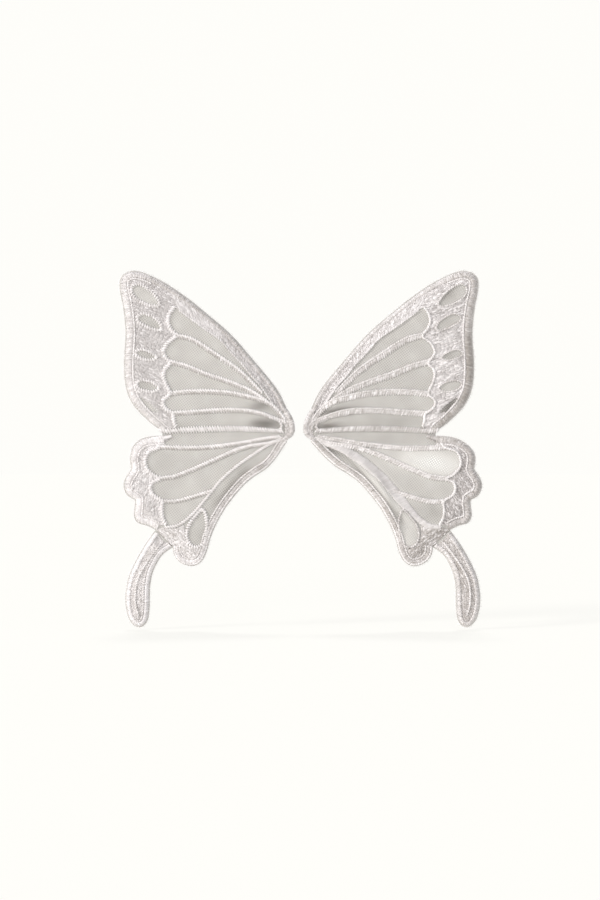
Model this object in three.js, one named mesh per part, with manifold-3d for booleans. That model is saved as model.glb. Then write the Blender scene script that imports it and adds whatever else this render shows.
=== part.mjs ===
// A pair of swallowtail fairy wings in embroidered organza, to be tacked to the back of a dress.
// Each wing is two layers of sheer cloth, overstitched on the front with satin cords and filled
// bands of thread. It hangs from a small thread tack at its root. The forewing flaps on the tack,
// the hindwing folds along the seam below the forewing, and the tail flexes at its narrow neck.
//
// Frame, in millimetres: the origin is midway between the two roots on the back plane, where the
// cloth of the dress lies. +X runs to the right wing, +Z up, and the stitched front faces -Y.
// Outlines are drawn in (u, w): u outward from the middle of the pair, w up.
import * as THREE from 'three';
import { mergeVertices } from 'three/addons/utils/BufferGeometryUtils.js';
import Module from 'manifold-3d';

const wasm = await Module();
wasm.setup();

// Overall sizes
const wingSpan = 80; // from the middle of the pair to the forewing's tip
const forewingRise = 72; // from the fold up to the forewing's tip
const hindwingDrop = 87; // from the fold down to the tip of the tail
const hindwingDrift = 1.7; // how far the right hindwing is set out and the left one in

// Cloth and thread
const sheerThickness = 0.25;
const stitchHeight = 0.75;
const edgeCordWidth = 3;
const seamCordWidth = 2.5;
const veinWidth = 2.4;
const windowCordWidth = 1.7;
const teardropRimWidth = 1;
const tailCordWidth = 2.6;
const stitchClearance = 0.3; // between neighbouring runs of thread

// Root tack and the lines that the wing bends on
const tackInner = 1.5; // from the middle of the pair to the tack
const tackTop = 9.4;
const tackBottom = -4.4;
const rootHinge = 5; // the forewing flaps about the vertical line at this u
const rootGap = 0.3;
const foldLevel = -1.2; // the hindwing folds about the level line at this w
const foldGap = 0.9;
const neckGap = 0.9;

const sampleStep = 4.2; // length of the straight facets on long curves
const fineStep = 2.6; // the same on short ones

const spanScale = wingSpan / 80;
const riseScale = forewingRise / 72;
const dropScale = hindwingDrop / 87;
const driftDepth = 8; // the hindwing's drift is reached this far below the fold
const driftReach = 12; // and this far out from the root
const rootStart = rootHinge + rootGap;
const foldTop = foldLevel + foldGap / 2;
const foldBottom = foldLevel - foldGap / 2;
const cutMargin = 1; // a cutter stands this much past the layer that it cuts

const threadWhite = { color: 0xece7e8, roughness: 0.45, metalness: 0 };
const threadPearl = { color: 0xe2dadb, roughness: 0.5, metalness: 0 };
const organza = { color: 0xd8d3cd, roughness: 0.8, metalness: 0 };

// ---------------------------------------------------------------- outlines in (u, w)

function place([u, w]) {
  return new THREE.Vector2(u * spanScale, w * (w > 0 ? riseScale : dropScale));
}

function spline(points, step = sampleStep) {
  const curve = new THREE.SplineCurve(points.map((p) => (p.isVector2 ? p : place(p))));
  return curve.getSpacedPoints(Math.ceil(curve.getLength() / step));
}

// A closed smooth loop through the points.
function loop(points, step = fineStep) {
  const flat = points.map((p) => new THREE.Vector3(...place(p).toArray(), 0));
  const curve = new THREE.CatmullRomCurve3(flat, true);
  const spaced = curve.getSpacedPoints(Math.ceil(curve.getLength() / step));
  return clockwise(spaced.slice(0, -1).map((p) => new THREE.Vector2(p.x, p.y)));
}

function clockwise(points) {
  return THREE.ShapeUtils.isClockWise(points) ? points : points.slice().reverse();
}

function rightOf(from, to) {
  return new THREE.Vector2(to.y - from.y, from.x - to.x).normalize();
}

function distanceToLine(points, q, closed) {
  let least = Infinity;
  for (let i = closed ? 0 : 1; i < points.length; i++) {
    const a = points[(i + points.length - 1) % points.length];
    const run = points[i].clone().sub(a);
    const along = THREE.MathUtils.clamp(q.clone().sub(a).dot(run) / run.lengthSq(), 0, 1);
    least = Math.min(least, q.distanceTo(a.clone().addScaledVector(run, along)));
  }
  return least;
}

// The line moved sideways, to the right of its run, with the points that would cross over left out.
function offset(points, distance, closed = false) {
  const count = points.length;
  const moved = points.map((p, i) => {
    const last = closed ? points[(i + count - 1) % count] : points[i - 1];
    const next = closed ? points[(i + 1) % count] : points[i + 1];
    const arriving = last ? rightOf(last, p) : rightOf(p, next);
    const leaving = next ? rightOf(p, next) : arriving;
    const middle = arriving.clone().add(leaving).normalize();
    return p.clone().addScaledVector(middle, distance / Math.max(middle.dot(leaving), 0.5));
  });
  const nearest = Math.abs(distance) * 0.97;
  return moved.filter((q) => distanceToLine(points, q, closed) > nearest);
}

// A band of thread along a line, which may taper.
function ribbon(line, startWidth, endWidth = startWidth) {
  const sides = [1, -1].map((side) => line.map((p, i) => {
    const from = line[Math.max(i - 1, 0)];
    const to = line[Math.min(i + 1, line.length - 1)];
    const width = THREE.MathUtils.lerp(startWidth, endWidth, i / (line.length - 1));
    return p.clone().addScaledVector(rightOf(from, to), side * width / 2);
  }));
  return clockwise([...sides[0], ...sides[1].reverse()]);
}

// The strip just inside an outline's run, as wide as its edge cord.
function edgeStrip(line, width) {
  return clockwise([...line, ...offset(line, width).reverse()]);
}

// ---------------------------------------------------------------- solids

// The two hindwings are not quite a mirrored pair: away from the root both lie a little to the right.
function settle(point, side) {
  const depth = THREE.MathUtils.clamp((foldBottom - point.y) / driftDepth, 0, 1);
  const reach = THREE.MathUtils.clamp((point.x - rootStart) / driftReach, 0, 1);
  return new THREE.Vector2(side * point.x + hindwingDrift * depth * reach, point.y);
}

function toManifold(geometry) {
  geometry.deleteAttribute('normal');
  geometry.deleteAttribute('uv');
  const merged = mergeVertices(geometry, 1e-4);
  return new wasm.Manifold(new wasm.Mesh({
    numProp: 3,
    vertProperties: merged.attributes.position.array,
    triVerts: new Uint32Array(merged.index.array),
  }));
}

// An outline raised towards the front by the thickness, from its own back face at y = 0.
function prism(points, side, thickness, lift = 0) {
  const shape = new THREE.Shape(points.map((p) => settle(p, side)));
  const geometry = new THREE.ExtrudeGeometry(shape, { depth: thickness, bevelEnabled: false });
  geometry.rotateX(Math.PI / 2);
  geometry.translate(0, -lift, 0);
  return toManifold(geometry);
}

function stitched(points, side) {
  return prism(points, side, stitchHeight);
}

// The space that a run of thread keeps clear around itself.
function reserved(points, side) {
  const grown = offset(points, -stitchClearance, true);
  return prism(grown, side, stitchHeight + 2 * cutMargin, -cutMargin);
}

function within(solid, points, side) {
  return solid.intersect(prism(points, side, stitchHeight + 2 * cutMargin, -cutMargin));
}

function clearOf(solid, outlines, side) {
  return outlines.reduce((rest, points) => rest.subtract(reserved(points, side)), solid);
}

function toGeometry(solid) {
  const { numProp, vertProperties, triVerts } = solid.getMesh();
  const geometry = new THREE.BufferGeometry();
  geometry.setAttribute('position', new THREE.BufferAttribute(vertProperties, numProp));
  geometry.setIndex(new THREE.BufferAttribute(triVerts, 1));
  geometry.computeVertexNormals();
  return geometry;
}

function piece(name, solid, look, depth) {
  const mesh = new THREE.Mesh(toGeometry(solid), new THREE.MeshStandardMaterial(look));
  mesh.name = name;
  mesh.position.y = -depth;
  return mesh;
}

// ---------------------------------------------------------------- the wing's lines

const at = (u, w) => new THREE.Vector2(u, w);

// Every outline runs clockwise, so that the cloth lies to the right of its run.
const leadingEdge = spline([
  at(rootStart, 10.4 * riseScale), [10, 19.5], [20, 31.8], [30, 43.2], [40, 52], [50, 60],
  [60, 66.7], [70, 71.3], [75.5, 71.6], [79.3, 69], [79.9, 64], [78.3, 55], [77.3, 44],
  [78, 30], [77.2, 20], [74, 12.2], [67.5, 5.2], [62.5, 1.3], at(60.6 * spanScale, foldTop),
]);
const forewingRun = [at(rootStart, foldTop), ...leadingEdge];

const outerLobes = [
  [at(60.9 * spanScale, foldBottom), [66, -1.9], [71, -3.2], [75.5, -7], [77, -12], [76.3, -16.3]],
  [[76.3, -16.3], [78.8, -20], [79.9, -24], [78.3, -28.2], [74.6, -30.3]],
];
const neckOuter = place([65.9, -44]);
const neckInner = place([58.2, -51.5]);
const neckAcross = rightOf(neckOuter, neckInner); // points back from the tail to the hindwing
const beforeNeck = (p) => p.clone().addScaledVector(neckAcross, neckGap / 2);
const pastNeck = (p) => p.clone().addScaledVector(neckAcross, -neckGap / 2);

const outerRun = [
  ...spline(outerLobes[0]),
  ...spline(outerLobes[1]).slice(1),
  ...spline([[74.6, -30.3], [75, -34], [75.3, -37.5], [73.6, -40.5], [69, -41.9],
    beforeNeck(neckOuter)]).slice(1),
];
const innerRun = [
  ...spline([
    beforeNeck(neckInner), [57.4, -54.6], [55, -57.8], [51, -59.6], [47.5, -59.3],
    [44.5, -57], [42.5, -52.5], [41, -47], [38.5, -41], [34.5, -34], [30, -28], [25, -22.5],
    [20, -18.8], [15, -15.5], [10.5, -11], [7.4, -7], at(rootStart, -4.4 * dropScale),
  ]),
  at(rootStart, foldBottom),
];
const tailRun = spline([
  pastNeck(neckOuter), [70, -49.7], [74, -56.5], [77.2, -63.3], [78.8, -70], [79, -76.5],
  [77.6, -82.8], [74.5, -86.6], [71.3, -86.6], [68.9, -83.5], [68.1, -77], [68, -70],
  [66.9, -63], [64, -56.8], [61.4, -53.7], pastNeck(neckInner),
]);

const forewingOutline = forewingRun;
const hindwingOutline = [...outerRun, ...innerRun];
const tailOutline = tailRun;

// The scalloped lines that round off the sheer windows at their outer ends
const forewingWindows = spline([
  [55.6, 55.6], [57.6, 52.5], [58.3, 49.5], [57.2, 46], [54.8, 42.7], [58, 40], [60, 37],
  [60.1, 34.4], [57.4, 30.6], [59.6, 28.2], [60.3, 25.4], [59.4, 21.8], [57.4, 17], [59.9, 14.8],
  [60.5, 12.5], [59.2, 10.2], [56.1, 8.1], [55.8, 5.6], [55, 2.6],
], fineStep);
const hindwingWindows = spline([
  [62.6, -2.9], [63.4, -6.6], [68, -8.4], [70.1, -12], [69.6, -16], [66.2, -19.4],
  [63.3, -20.8], [66.8, -22.2], [67.8, -25.2], [66.2, -28.4], [62.6, -30.6], [62.8, -34],
  [62.4, -38], [60.8, -41.2],
], fineStep);

const forewingVeins = [
  [[17, 17.4], [25, 25.5], [30, 29.5], [36, 33.5], [42, 37.5], [48, 41], [55, 42.8]],
  [[15, 13.6], [20, 17], [26, 20], [36, 23.7], [42, 25.7], [50, 29], [57.6, 31]],
  [[7, 5.6], [10, 9.6], [14, 12.8], [20, 14.8], [30, 17], [42, 17.8], [50, 17.6], [58, 16.6]],
  [[6.6, 4], [15, 7.3], [22, 9], [30, 9.5], [38, 9.3], [45, 8.7], [56.4, 8]],
].map((points) => spline(points));

const hindwingTrunk = spline([
  [6.6, -3.3], [13, -5.2], [18, -7.6], [25, -12], [30, -15.7], [36, -21], [41, -27], [47, -34.3],
  [51.5, -38.8], [56, -41.6], [61.2, -42.4],
]);
const hindwingBranch = spline([[40.6, -26.5], [46, -28.2], [52, -30], [57, -31], [63, -30.9]]);
const hindwingVeins = [
  [[16, -3.4], [25, -5], [35, -6.3], [45, -7.2], [55, -7.2], [64, -6.8]],
  [[14, -5.4], [22, -6.4], [30, -8.7], [40, -13], [50, -17.4], [57, -20], [64, -20.9]],
].map((points) => spline(points));
const lobeLoop = loop([
  [44.6, -34.4], [48.6, -38.4], [51, -42.4], [51.6, -46.4], [50, -50.2], [46.7, -51.2],
  [44, -49.2], [42.8, -44.4], [42.8, -38.6],
], fineStep);

const teardrops = [
  [[61.9, 56.4], [63.8, 60.4], [68, 64.2], [71.8, 65.8], [74.2, 64.5], [74.4, 61.6], [71.5, 58.6],
    [66, 56.1]],
  [[61.2, 45.4], [61.8, 48.4], [65, 51.2], [69, 52.6], [71.7, 51.5], [71.7, 49.4], [69.5, 47.7],
    [64.8, 45.6]],
  [[63.2, 33], [65.6, 35.2], [69.5, 36.7], [72.2, 36.1], [72.7, 34.5], [70.8, 33], [66.2, 31.9]],
  [[62, 19.4], [65, 22], [69.4, 23], [72, 22.3], [72.2, 20.5], [70, 18.7], [65.2, 17.8]],
].map((points) => loop(points));
const crescent = loop([[62.4, 8.9], [65.6, 9], [68.6, 11.2], [70.6, 15.2], [66.4, 12.8]]);

// ---------------------------------------------------------------- thread outlines

const forewingCord = edgeStrip(forewingRun, edgeCordWidth);
const outerCord = edgeStrip(outerRun, edgeCordWidth);
const innerCord = edgeStrip(innerRun, edgeCordWidth);
const tailCord = edgeStrip(tailRun, tailCordWidth);

const seamCord = clockwise([
  at(rootStart + edgeCordWidth + stitchClearance, foldTop),
  at(60.2 * spanScale, foldTop),
  ...spline([at(58 * spanScale, foldTop + 0.8 * seamCordWidth), [45, 2.3], [30, 2.8], [18, 2.2],
    at(rootStart + edgeCordWidth + stitchClearance, foldTop + 0.7 * seamCordWidth)]),
]);

const forewingVeinBands = forewingVeins.map((line) => ribbon(line, veinWidth * 0.8, veinWidth));
const forewingWindowBand = ribbon(forewingWindows, windowCordWidth);
const trunkBand = ribbon(hindwingTrunk, veinWidth, veinWidth * 0.9);
const branchBand = ribbon(hindwingBranch, veinWidth * 0.8);
const hindwingVeinBands = hindwingVeins.map((line) => ribbon(line, veinWidth * 0.7, veinWidth));
const hindwingWindowBand = ribbon(hindwingWindows, windowCordWidth);
const midribBand = ribbon(
  spline([[62.8, -49.4], [67, -54.8], [71, -60.7], [73.5, -66], [74.4, -71.5], [74.2, -77],
    [73, -81.2]]),
  veinWidth, veinWidth * 0.7,
);

// The band of fill stitches behind the leading edge, and the one round the margin, meet on a line
// that runs across the tip.
const tipSplit = [place([55.6, 55.6]), place([63, 74])];
const leadingBand = clockwise([
  place([0, 7]), place([0, 40]), place([40, 80]), tipSplit[1], tipSplit[0],
  ...spline([[53, 54], [48, 50.3], [42, 46], [35, 41], [30, 35.3], [25, 30], [21, 25],
    [17, 20.5], [13, 14.6], [9.4, 8.9]]),
]);
const marginBand = clockwise([
  tipSplit[0], tipSplit[1], place([90, 90]), at(90 * spanScale, foldTop),
  at(55 * spanScale, foldTop), ...forewingWindows.slice().reverse(),
]);
const hindwingMarginBand = clockwise([
  at(62.6 * spanScale, foldBottom), place([95, -1.7]), place([95, -60]), pastNeck(neckOuter),
  beforeNeck(neckOuter), place([60.8, -43.4]), ...hindwingWindows.slice().reverse(),
]);

// ---------------------------------------------------------------- one wing

function tackPieces(name, side) {
  const outer = rootHinge - rootGap / 2;
  const nub = clockwise([
    at(outer, tackBottom * dropScale),
    ...spline([at(outer - 0.6, tackBottom), at(tackInner + 0.7, tackBottom * 0.6),
      at(tackInner, 0.5), at(tackInner + 0.4, tackTop * 0.5), at(outer - 1, tackTop * 0.93),
      at(outer, tackTop)], fineStep),
  ]);
  const height = 2 * sheerThickness + stitchHeight;
  return [piece(`${name}_root_tack`, prism(nub, side, height), threadWhite, 0)];
}

function sheers(name, outline, side) {
  return ['back', 'front'].map((layer, i) => piece(
    `${name}_${layer}_sheer`, prism(outline, side, sheerThickness), organza, i * sheerThickness,
  ));
}

const stitchDepth = 2 * sheerThickness; // the thread lies on the front sheer

function forewingPieces(name, side) {
  const cut = (outline, others) => clearOf(
    within(stitched(outline, side), forewingOutline, side), others, side,
  );
  const [vein1, vein2, vein3, vein4] = forewingVeinBands;
  const frames = [forewingCord, seamCord, forewingWindowBand];
  const rims = teardrops.map((points) => offset(points, -teardropRimWidth / 2, true));
  const thread = {
    edge_cord: within(stitched(forewingCord, side), forewingOutline, side),
    seam_cord: cut(seamCord, [forewingCord]),
    window_cord: cut(forewingWindowBand, [forewingCord, seamCord]),
    vein_4: cut(vein4, frames),
    vein_3: cut(vein3, [...frames, vein4]),
    vein_2: cut(vein2, [...frames, vein3]),
    vein_1: cut(vein1, [...frames, vein2, vein3]),
  };
  const fills = {
    leading_fill: cut(leadingBand, [...frames, ...forewingVeinBands]),
    margin_fill: cut(marginBand, [...frames, leadingBand, crescent, ...rims]),
  };
  const rimSolids = rims.map((outer, i) => stitched(outer, side).subtract(
    prism(offset(teardrops[i], teardropRimWidth / 2, true), side,
      stitchHeight + 2 * cutMargin, -cutMargin),
  ));
  return [
    ...sheers(name, forewingOutline, side),
    ...Object.entries(thread).map(
      ([part, solid]) => piece(`${name}_${part}`, solid, threadWhite, stitchDepth),
    ),
    ...Object.entries(fills).map(
      ([part, solid]) => piece(`${name}_${part}`, solid, threadPearl, stitchDepth),
    ),
    ...rimSolids.map(
      (solid, i) => piece(`${name}_teardrop_${i + 1}`, solid, threadWhite, stitchDepth),
    ),
  ];
}

function hindwingPieces(name, side) {
  const cut = (outline, others) => clearOf(
    within(stitched(outline, side), hindwingOutline, side), others, side,
  );
  const frames = [outerCord, innerCord, hindwingWindowBand];
  const [vein1, vein2] = hindwingVeinBands;
  const lobeRim = offset(lobeLoop, -windowCordWidth / 2, true);
  const lobeWindow = prism(
    offset(lobeLoop, windowCordWidth / 2, true), side, stitchHeight + 2 * cutMargin, -cutMargin,
  );
  const thread = {
    outer_edge_cord: within(stitched(outerCord, side), hindwingOutline, side),
    inner_edge_cord: within(stitched(innerCord, side), hindwingOutline, side),
    window_cord: cut(hindwingWindowBand, [outerCord]),
    main_vein: cut(trunkBand, frames).add(cut(branchBand, frames)),
    vein_2: cut(vein2, [...frames, trunkBand]),
    vein_1: cut(vein1, [...frames, trunkBand, vein2]),
    lobe_cord: cut(lobeRim, [...frames, trunkBand]).subtract(lobeWindow),
  };
  const fill = cut(hindwingMarginBand, [...frames, trunkBand, branchBand]);
  return [
    ...sheers(name, hindwingOutline, side),
    ...Object.entries(thread).map(
      ([part, solid]) => piece(`${name}_${part}`, solid, threadWhite, stitchDepth),
    ),
    piece(`${name}_margin_fill`, fill, threadPearl, stitchDepth),
  ];
}

function tailPieces(name, side) {
  const cord = within(stitched(tailCord, side), tailOutline, side);
  const midrib = clearOf(within(stitched(midribBand, side), tailOutline, side), [tailCord], side);
  return [
    ...sheers(name, tailOutline, side),
    piece(`${name}_edge_cord`, cord, threadWhite, stitchDepth),
    piece(`${name}_midrib_cord`, midrib, threadWhite, stitchDepth),
  ];
}

function wing(name, side) {
  const group = new THREE.Group();
  group.add(
    ...tackPieces(name, side),
    ...forewingPieces(`${name}_forewing`, side),
    ...hindwingPieces(`${name}_hindwing`, side),
    ...tailPieces(`${name}_tail`, side),
  );
  return group;
}

const fairyWings = new THREE.Group();
fairyWings.add(wing('left', -1), wing('right', 1));

export default fairyWings;
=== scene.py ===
"""A pair of embroidered organza fairy wings, stitched thread by thread around the CAD frame."""
import math

import bpy
import numpy as np
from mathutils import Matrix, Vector
from mathutils.geometry import delaunay_2d_cdt

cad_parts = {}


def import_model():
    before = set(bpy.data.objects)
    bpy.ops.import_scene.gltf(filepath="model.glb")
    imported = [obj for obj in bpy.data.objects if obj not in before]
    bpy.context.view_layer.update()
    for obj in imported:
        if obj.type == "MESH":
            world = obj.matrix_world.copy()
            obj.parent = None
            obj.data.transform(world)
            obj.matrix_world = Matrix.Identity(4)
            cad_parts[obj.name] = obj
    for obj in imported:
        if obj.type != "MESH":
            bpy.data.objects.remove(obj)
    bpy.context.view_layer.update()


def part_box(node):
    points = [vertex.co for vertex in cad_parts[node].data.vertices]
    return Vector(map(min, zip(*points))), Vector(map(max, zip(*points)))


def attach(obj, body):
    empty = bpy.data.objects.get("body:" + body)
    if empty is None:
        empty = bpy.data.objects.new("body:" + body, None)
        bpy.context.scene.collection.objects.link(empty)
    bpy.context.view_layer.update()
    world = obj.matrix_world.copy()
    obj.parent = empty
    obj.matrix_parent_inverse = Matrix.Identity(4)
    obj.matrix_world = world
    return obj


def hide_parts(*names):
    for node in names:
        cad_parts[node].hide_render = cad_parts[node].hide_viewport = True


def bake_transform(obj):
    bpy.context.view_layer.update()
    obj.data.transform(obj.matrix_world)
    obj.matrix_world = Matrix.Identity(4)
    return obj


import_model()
SIDES = {"left": -1, "right": 1}

# ------------------------------------------------------------------ the design's own sizes, in mm
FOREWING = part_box("right_forewing_front_sheer")
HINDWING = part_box("right_hindwing_front_sheer")
ROOT_START = FOREWING[0][0] * 1000
FOLD_TOP = FOREWING[0][2] * 1000
FOLD_BOTTOM = HINDWING[1][2] * 1000
FOLD = (FOLD_TOP + FOLD_BOTTOM) / 2
DRIFT = (HINDWING[1][0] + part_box("left_hindwing_front_sheer")[0][0]) * 500
BACK_LAYER = 0.12  # each layer of cloth, in front of the back plane
FRONT_LAYER = 0.42
THREAD_BASE = 0.45
WEAVE_SCALE = 345  # a rib of the weave every 0.91 mm

# ------------------------------------------------------------------ camera, stage and light
PAGE_HEIGHT = 0.4005  # metres, what the picture shows from top to bottom at the wings
PAGE_FRONT = 0.0008  # metres in front of the origin, where that height is measured
FOCAL = 85  # mm, as the sensor
SENSOR = 36
CAMERA_X = 0.000445
CAMERA_Z = -0.0080
BACKDROP = (0.993, 0.986, 0.952, 1)
SKY_COLOR = (0.93, 0.95, 1.0, 1)
SKY_STRENGTH = 0.56
FLOOR_COLOR = (0.20, 0.197, 0.184, 1)
FLOOR_GLOW = 0.774  # with the light that falls on it, the floor is as bright as the backdrop
FLOOR_REACH = 6.0
FLOOR_GAP = 0.001  # below the tails
# Name, direction towards the light, strength, softness in degrees and color
SUNS = [
    ("key", (-0.80, -0.50, 0.42), 2.15, 16, (1.0, 0.985, 0.965)),
    ("front", (-0.10, -1.0, 0.25), 0.5, 30, (1.0, 1.0, 1.0)),
    ("overhead", (0.0, 0.35, 1.0), 1.05, 12, (1.0, 1.0, 1.0)),
]


def make_camera():
    data = bpy.data.cameras.new("camera")
    data.lens = FOCAL
    data.sensor_width = SENSOR
    camera = bpy.data.objects.new("camera", data)
    bpy.context.collection.objects.link(camera)
    camera.location = (CAMERA_X, -PAGE_HEIGHT * FOCAL / SENSOR - PAGE_FRONT, CAMERA_Z)
    camera.rotation_euler = (math.radians(90), 0, 0)
    bpy.context.scene.camera = camera


def sun(name, toward, strength, softness, color):
    """A distant light, so that the floor is lit evenly."""
    data = bpy.data.lights.new(name, "SUN")
    data.energy = strength
    data.angle = math.radians(softness)
    data.color = color
    light = bpy.data.objects.new(name, data)
    light.rotation_euler = Vector(toward).to_track_quat("Z", "Y").to_euler()
    bpy.context.collection.objects.link(light)


def make_world():
    world = bpy.data.worlds.new("studio")
    bpy.context.scene.world = world
    world.use_nodes = True
    nodes, links = world.node_tree.nodes, world.node_tree.links
    nodes.clear()
    seen, soft = nodes.new("ShaderNodeBackground"), nodes.new("ShaderNodeBackground")
    seen.inputs["Color"].default_value = BACKDROP
    soft.inputs["Color"].default_value = SKY_COLOR
    soft.inputs["Strength"].default_value = SKY_STRENGTH
    path = nodes.new("ShaderNodeLightPath")
    mix, out = nodes.new("ShaderNodeMixShader"), nodes.new("ShaderNodeOutputWorld")
    links.new(path.outputs["Is Camera Ray"], mix.inputs["Fac"])
    links.new(soft.outputs[0], mix.inputs[1])
    links.new(seen.outputs[0], mix.inputs[2])
    links.new(mix.outputs[0], out.inputs["Surface"])


def make_floor():
    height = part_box("right_tail_front_sheer")[0][2] - FLOOR_GAP
    mesh = bpy.data.meshes.new("floor")
    corners = [(x * FLOOR_REACH, y * FLOOR_REACH, height) for x, y in ((-1, -1), (1, -1), (1, 1), (-1, 1))]
    mesh.from_pydata(corners, [], [(0, 1, 2, 3)])
    floor = bpy.data.objects.new("floor", mesh)
    bpy.context.collection.objects.link(floor)
    material = bpy.data.materials.new("pale_floor")
    material.use_nodes = True
    shader = material.node_tree.nodes["Principled BSDF"]
    shader.inputs["Base Color"].default_value = FLOOR_COLOR
    shader.inputs["Roughness"].default_value = 1
    shader.inputs["Specular IOR Level"].default_value = 0
    shader.inputs["Emission Color"].default_value = BACKDROP
    shader.inputs["Emission Strength"].default_value = FLOOR_GLOW
    mesh.materials.append(material)


make_camera()
make_world()
make_floor()
for light in SUNS:
    sun(*light)
bpy.context.scene.view_settings.view_transform = "Standard"

# ------------------------------------------------------------------ lines in (u, w), mm
SPLINE_SAMPLES = 40  # between one point and the next, before even spacing
CLEAR_SHARE = 0.93  # of an inset; a moved point that comes nearer to the line than this has crossed over


def spline(points, step, closed=False):
    """Even samples of a smooth curve through the points."""
    p = np.array(points, float)
    if closed:
        p = np.vstack([p[-1], p, p[0], p[1]])
    else:
        p = np.vstack([p[0], p, p[-1]])
    t = np.linspace(0, 1, SPLINE_SAMPLES, endpoint=False)[:, None]
    runs = []
    for a, b, c, d in zip(p[:-3], p[1:-2], p[2:-1], p[3:]):
        tangent_b, tangent_c = (c - a) / 2, (d - b) / 2
        runs.append((2 * t**3 - 3 * t**2 + 1) * b + (t**3 - 2 * t**2 + t) * tangent_b
                    + (3 * t**2 - 2 * t**3) * c + (t**3 - t**2) * tangent_c)
    dense = np.vstack(runs + [p[-2:-1]])
    return resample(dense, step)


def resample(line, step):
    """The same line with evenly spaced points, about a step apart."""
    run = np.r_[0, np.cumsum(np.linalg.norm(np.diff(line, axis=0), axis=1))]
    count = max(2, int(round(run[-1] / step)) + 1)
    s = np.linspace(0, run[-1], count)
    return np.column_stack([np.interp(s, run, line[:, k]) for k in range(line.shape[1])])


def right_normals(line):
    """At each point, the direction to the right of the line's run."""
    tangent = np.gradient(line, axis=0)
    tangent /= np.linalg.norm(tangent, axis=1)[:, None] + 1e-9
    return np.column_stack([tangent[:, 1], -tangent[:, 0]])


def distance_to(line, q):
    """How far each of the points q is from the line."""
    a, b = line[:-1], line[1:]
    run = b - a
    along = np.clip(((q[:, None] - a) * run).sum(2) / ((run**2).sum(1) + 1e-12), 0, 1)
    return np.linalg.norm(q[:, None] - (a + along[..., None] * run), axis=2).min(1)


def profile(values, count):
    """A short list of values, spread evenly over a count of places."""
    values = np.atleast_1d(np.asarray(values, float))
    return np.interp(np.linspace(0, 1, count), np.linspace(0, 1, len(values)), values)


def inset(line, distance, step=0.8):
    """The line moved to the right of its run, without the points that would cross over."""
    distance = profile(distance, len(line))
    moved = line + right_normals(line) * distance[:, None]
    keep = distance_to(line, moved) > np.abs(distance) * CLEAR_SHARE
    return resample(moved[keep], step)


def overlapped(loop):
    """A closed line, carried on a little past its own start."""
    return np.vstack([loop, loop[1:3]])


def smooth(x):
    """0 to 1 with a gentle start and end."""
    x = np.clip(x, 0, 1)
    return x * x * (3 - 2 * x)


def inside(polygon, q):
    """Which of the points lie inside a closed polygon."""
    x, y = q[:, 0:1], q[:, 1:2]
    x0, y0 = polygon[:, 0], polygon[:, 1]
    x1, y1 = np.roll(x0, -1), np.roll(y0, -1)
    crossing = (y0 > y) != (y1 > y)
    with np.errstate(divide="ignore", invalid="ignore"):
        meets = x0 + (y - y0) * (x1 - x0) / (y1 - y0)
    return (crossing & (x < meets)).sum(1) % 2 == 1


# ------------------------------------------------------------------ the wing's lines
LEADING_EDGE = [
    (ROOT_START, 10.4), (10, 19.5), (20, 31.8), (30, 43.2), (40, 52), (50, 60), (60, 66.7),
    (70, 71.3), (75.5, 71.6), (79.3, 69), (79.9, 64), (78.3, 55), (77.3, 44), (78, 30),
    (77.2, 20), (74, 12.2), (67.5, 5.2), (62.5, 1.3), (60.6, FOLD_TOP),
]
OUTER_LOBES = [
    [(60.9, FOLD_BOTTOM), (66, -1.9), (71, -3.2), (75.5, -7), (77, -12), (76.3, -16.3)],
    [(76.3, -16.3), (78.8, -20), (79.9, -24), (78.3, -28.2), (74.6, -30.3)],
    [(74.6, -30.3), (75, -34), (75.3, -37.5), (73.6, -40.5), (69, -41.9), (65.6, -43.7)],
]
INNER_EDGE = [
    (57.9, -51.2), (57.4, -54.6), (55, -57.8), (51, -59.6), (47.5, -59.3), (44.5, -57),
    (42.5, -52.5), (41, -47), (38.5, -41), (34.5, -34), (30, -28), (25, -22.5), (20, -18.8),
    (15, -15.5), (10.5, -11), (7.4, -7), (ROOT_START, -4.4),
]
TAIL_EDGE = [
    (66.2, -44.3), (70, -49.7), (74, -56.5), (77.2, -63.3), (78.8, -70), (79, -76.5),
    (77.6, -82.8), (74.5, -86.6), (71.3, -86.6), (68.9, -83.5), (68.1, -77), (68, -70),
    (66.9, -63), (64, -56.8), (61.4, -53.7), (58.5, -51.8),
]
NECK_OUTER = np.array((65.9, -44.0))
NECK_INNER = np.array((58.2, -51.5))
NECK_MIDDLE = (NECK_OUTER + NECK_INNER) / 2
NECK_RUN = (NECK_INNER - NECK_OUTER) / np.linalg.norm(NECK_INNER - NECK_OUTER)
NECK_OUT = np.array((-NECK_RUN[1], NECK_RUN[0]))  # from the hindwing into the tail
NECK_START = NECK_OUTER + NECK_OUT * 0.5
NECK_END = NECK_INNER + NECK_OUT * 0.5

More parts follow.
